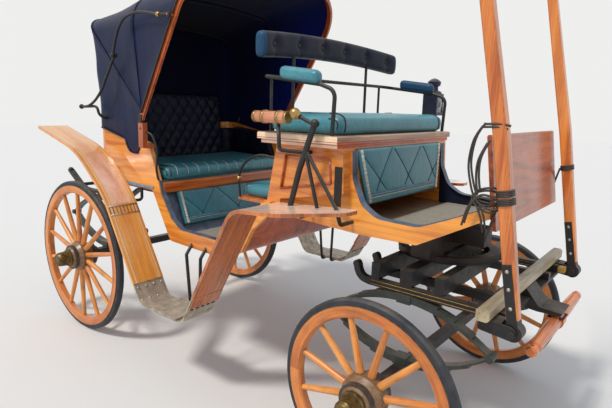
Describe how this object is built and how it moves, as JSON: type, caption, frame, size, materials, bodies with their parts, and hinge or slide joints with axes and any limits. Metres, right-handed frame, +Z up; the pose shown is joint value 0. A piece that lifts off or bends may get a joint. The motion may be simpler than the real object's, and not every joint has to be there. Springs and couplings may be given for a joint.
{
  "type": "horse-drawn carriage",
  "caption": "Open phaeton carriage with a folding leather hood over the rear seat, driver's box seat, cut-under body, elliptic springs and shafts raised for parking.",
  "frame": {"origin": "on the ground, at the middle of the length and width", "axes": "+X towards the shafts, +Y to the carriage's left, +Z up"},
  "size_m": [3.2979, 1.72, 2.7982],
  "materials": {
    "varnished_wood": "clear varnish",
    "wheel_wood": "clear varnish",
    "shaft_wood": "clear varnish",
    "grey_wood": "weathered, bare",
    "hood_leather": "dark blue, dressed",
    "teal_leather": "quilted",
    "navy_leather": "buttoned",
    "black_iron": "black paint, worn",
    "spring_steel": "dark paint, worn on the edges",
    "rubber_tyre": "solid rubber",
    "hub_iron": "dark paint and dull brass",
    "lamp_metal": "dark"
  },
  "bodies": {
    "root": {"back_panel": "varnished_wood", "body_irons": "black_iron", "boot_floor": "grey_wood", "boot_sides": "varnished_wood", "brake_stand": "black_iron", "carriage_lamp": "lamp_metal", "child_seat_board": "varnished_wood", "child_seat_cushion": "teal_leather", "child_seat_irons": "black_iron", "cut_under_floor": "varnished_wood", "dash_board": "varnished_wood", "driver_box": "varnished_wood", "driver_fall": "teal_leather", "driver_pads": "navy_leather", "driver_seat_board": "varnished_wood", "driver_seat_cushion": "teal_leather", "driver_seat_irons": "black_iron", "hand_grip": "varnished_wood", "hood_leather_rear": "hood_leather", "hood_posts": "varnished_wood", "rear_axle": "black_iron", "rear_backrest": "navy_leather", "rear_fall": "teal_leather", "rear_irons": "black_iron", "rear_seat_board": "grey_wood", "rear_seat_cushion": "teal_leather", "rear_seat_rail": "varnished_wood", "rear_springs": "spring_steel", "side_planks": "varnished_wood", "steps": "black_iron", "upper_turntable": "black_iron", "wing_irons": "black_iron", "wings": "varnished_wood"},
    "fore_carriage": {"front_axle": "black_iron", "front_springs": "spring_steel", "lower_turntable": "black_iron", "splinter_bar": "grey_wood", "shaft_brackets": "black_iron"},
    "shafts": {"shafts": "shaft_wood", "shaft_irons": "black_iron"},
    "whippletree": {"whippletree": "varnished_wood"},
    "bow_rear": {"hood_bow_rear": "varnished_wood", "hood_leather_mid": "hood_leather"},
    "bow_mid": {"hood_bow_mid": "varnished_wood", "hood_leather_front": "hood_leather"},
    "bow_front": {"hood_bow_front": "varnished_wood"},
    "iron_lower": {"hood_iron_lower": "black_iron"},
    "iron_upper": {"hood_iron_upper": "black_iron"},
    "wheel_rear_right": {"tyre_rear_right": "rubber_tyre", "wheel_rear_right": "wheel_wood", "hub_irons_rear_right": "hub_iron"},
    "wheel_rear_left": {"tyre_rear_left": "rubber_tyre", "wheel_rear_left": "wheel_wood", "hub_irons_rear_left": "hub_iron"},
    "wheel_front_right": {"tyre_front_right": "rubber_tyre", "wheel_front_right": "wheel_wood", "hub_irons_front_right": "hub_iron"},
    "wheel_front_left": {"tyre_front_left": "rubber_tyre", "wheel_front_left": "wheel_wood", "hub_irons_front_left": "hub_iron"}
  },
  "joints": [
    {"name": "wheel_rear_right_spin", "type": "hinge", "parent": "root", "child": "wheel_rear_right", "pos_m": [-1.149, -0.7, 0.5], "axis": [0, 1, 0], "continuous": true},
    {"name": "wheel_rear_left_spin", "type": "hinge", "parent": "root", "child": "wheel_rear_left", "pos_m": [-1.149, 0.7, 0.5], "axis": [0, 1, 0], "continuous": true},
    {"name": "wheel_front_right_spin", "type": "hinge", "parent": "fore_carriage", "child": "wheel_front_right", "pos_m": [1.101, -0.7, 0.4], "axis": [0, 1, 0], "continuous": true},
    {"name": "wheel_front_left_spin", "type": "hinge", "parent": "fore_carriage", "child": "wheel_front_left", "pos_m": [1.101, 0.7, 0.4], "axis": [0, 1, 0], "continuous": true},
    {"name": "fore_carriage_turn", "type": "hinge", "parent": "root", "child": "fore_carriage", "pos_m": [1.101, 0, 0.85], "axis": [0, 0, 1], "range_deg": [-40, 40]},
    {"name": "shafts_lower", "type": "hinge", "parent": "fore_carriage", "child": "shafts", "pos_m": [1.573, 0, 0.748], "axis": [0, 1, 0], "range_deg": [0, 118]},
    {"name": "whippletree_swing", "type": "hinge", "parent": "fore_carriage", "child": "whippletree", "pos_m": [1.616, 0, 0.65], "axis": [0, 0, 1], "range_deg": [-15, 15]},
    {"name": "hood_fold", "type": "hinge", "parent": "root", "child": "bow_rear", "pos_m": [-0.514, 0, 1.43], "axis": [0, -1, 0], "range_deg": [0, 39.4], "deforming": ["hood_leather_rear"]},
    {"name": "hood_fold_mid", "type": "hinge", "parent": "bow_rear", "child": "bow_mid", "pos_m": [-0.514, 0, 1.43], "axis": [0, -1, 0], "range_deg": [0, 32.6], "deforming": ["hood_leather_mid"]},
    {"name": "hood_fold_front", "type": "hinge", "parent": "bow_mid", "child": "bow_front", "pos_m": [-0.514, 0, 1.43], "axis": [0, -1, 0], "range_deg": [0, 31.6], "deforming": ["hood_leather_front"]},
    {"name": "hood_iron_foot", "type": "hinge", "parent": "root", "child": "iron_lower", "pos_m": [-1.149, 0, 1.48], "axis": [0, -1, 0], "range_deg": [0, 139.76]},
    {"name": "hood_iron_elbow", "type": "hinge", "parent": "iron_lower", "child": "iron_upper", "pos_m": [-0.729, 0, 1.78], "axis": [0, 1, 0], "range_deg": [0, 147.96]}
  ],
  "couplings": [
    {"joint": "hood_fold_mid", "follows": "hood_fold", "ratio": 0.8272},
    {"joint": "hood_fold_front", "follows": "hood_fold", "ratio": 0.8018},
    {"joint": "hood_iron_foot", "follows": "hood_fold", "ratio": 3.547},
    {"joint": "hood_iron_elbow", "follows": "hood_fold", "ratio": 3.7551}
  ]
}
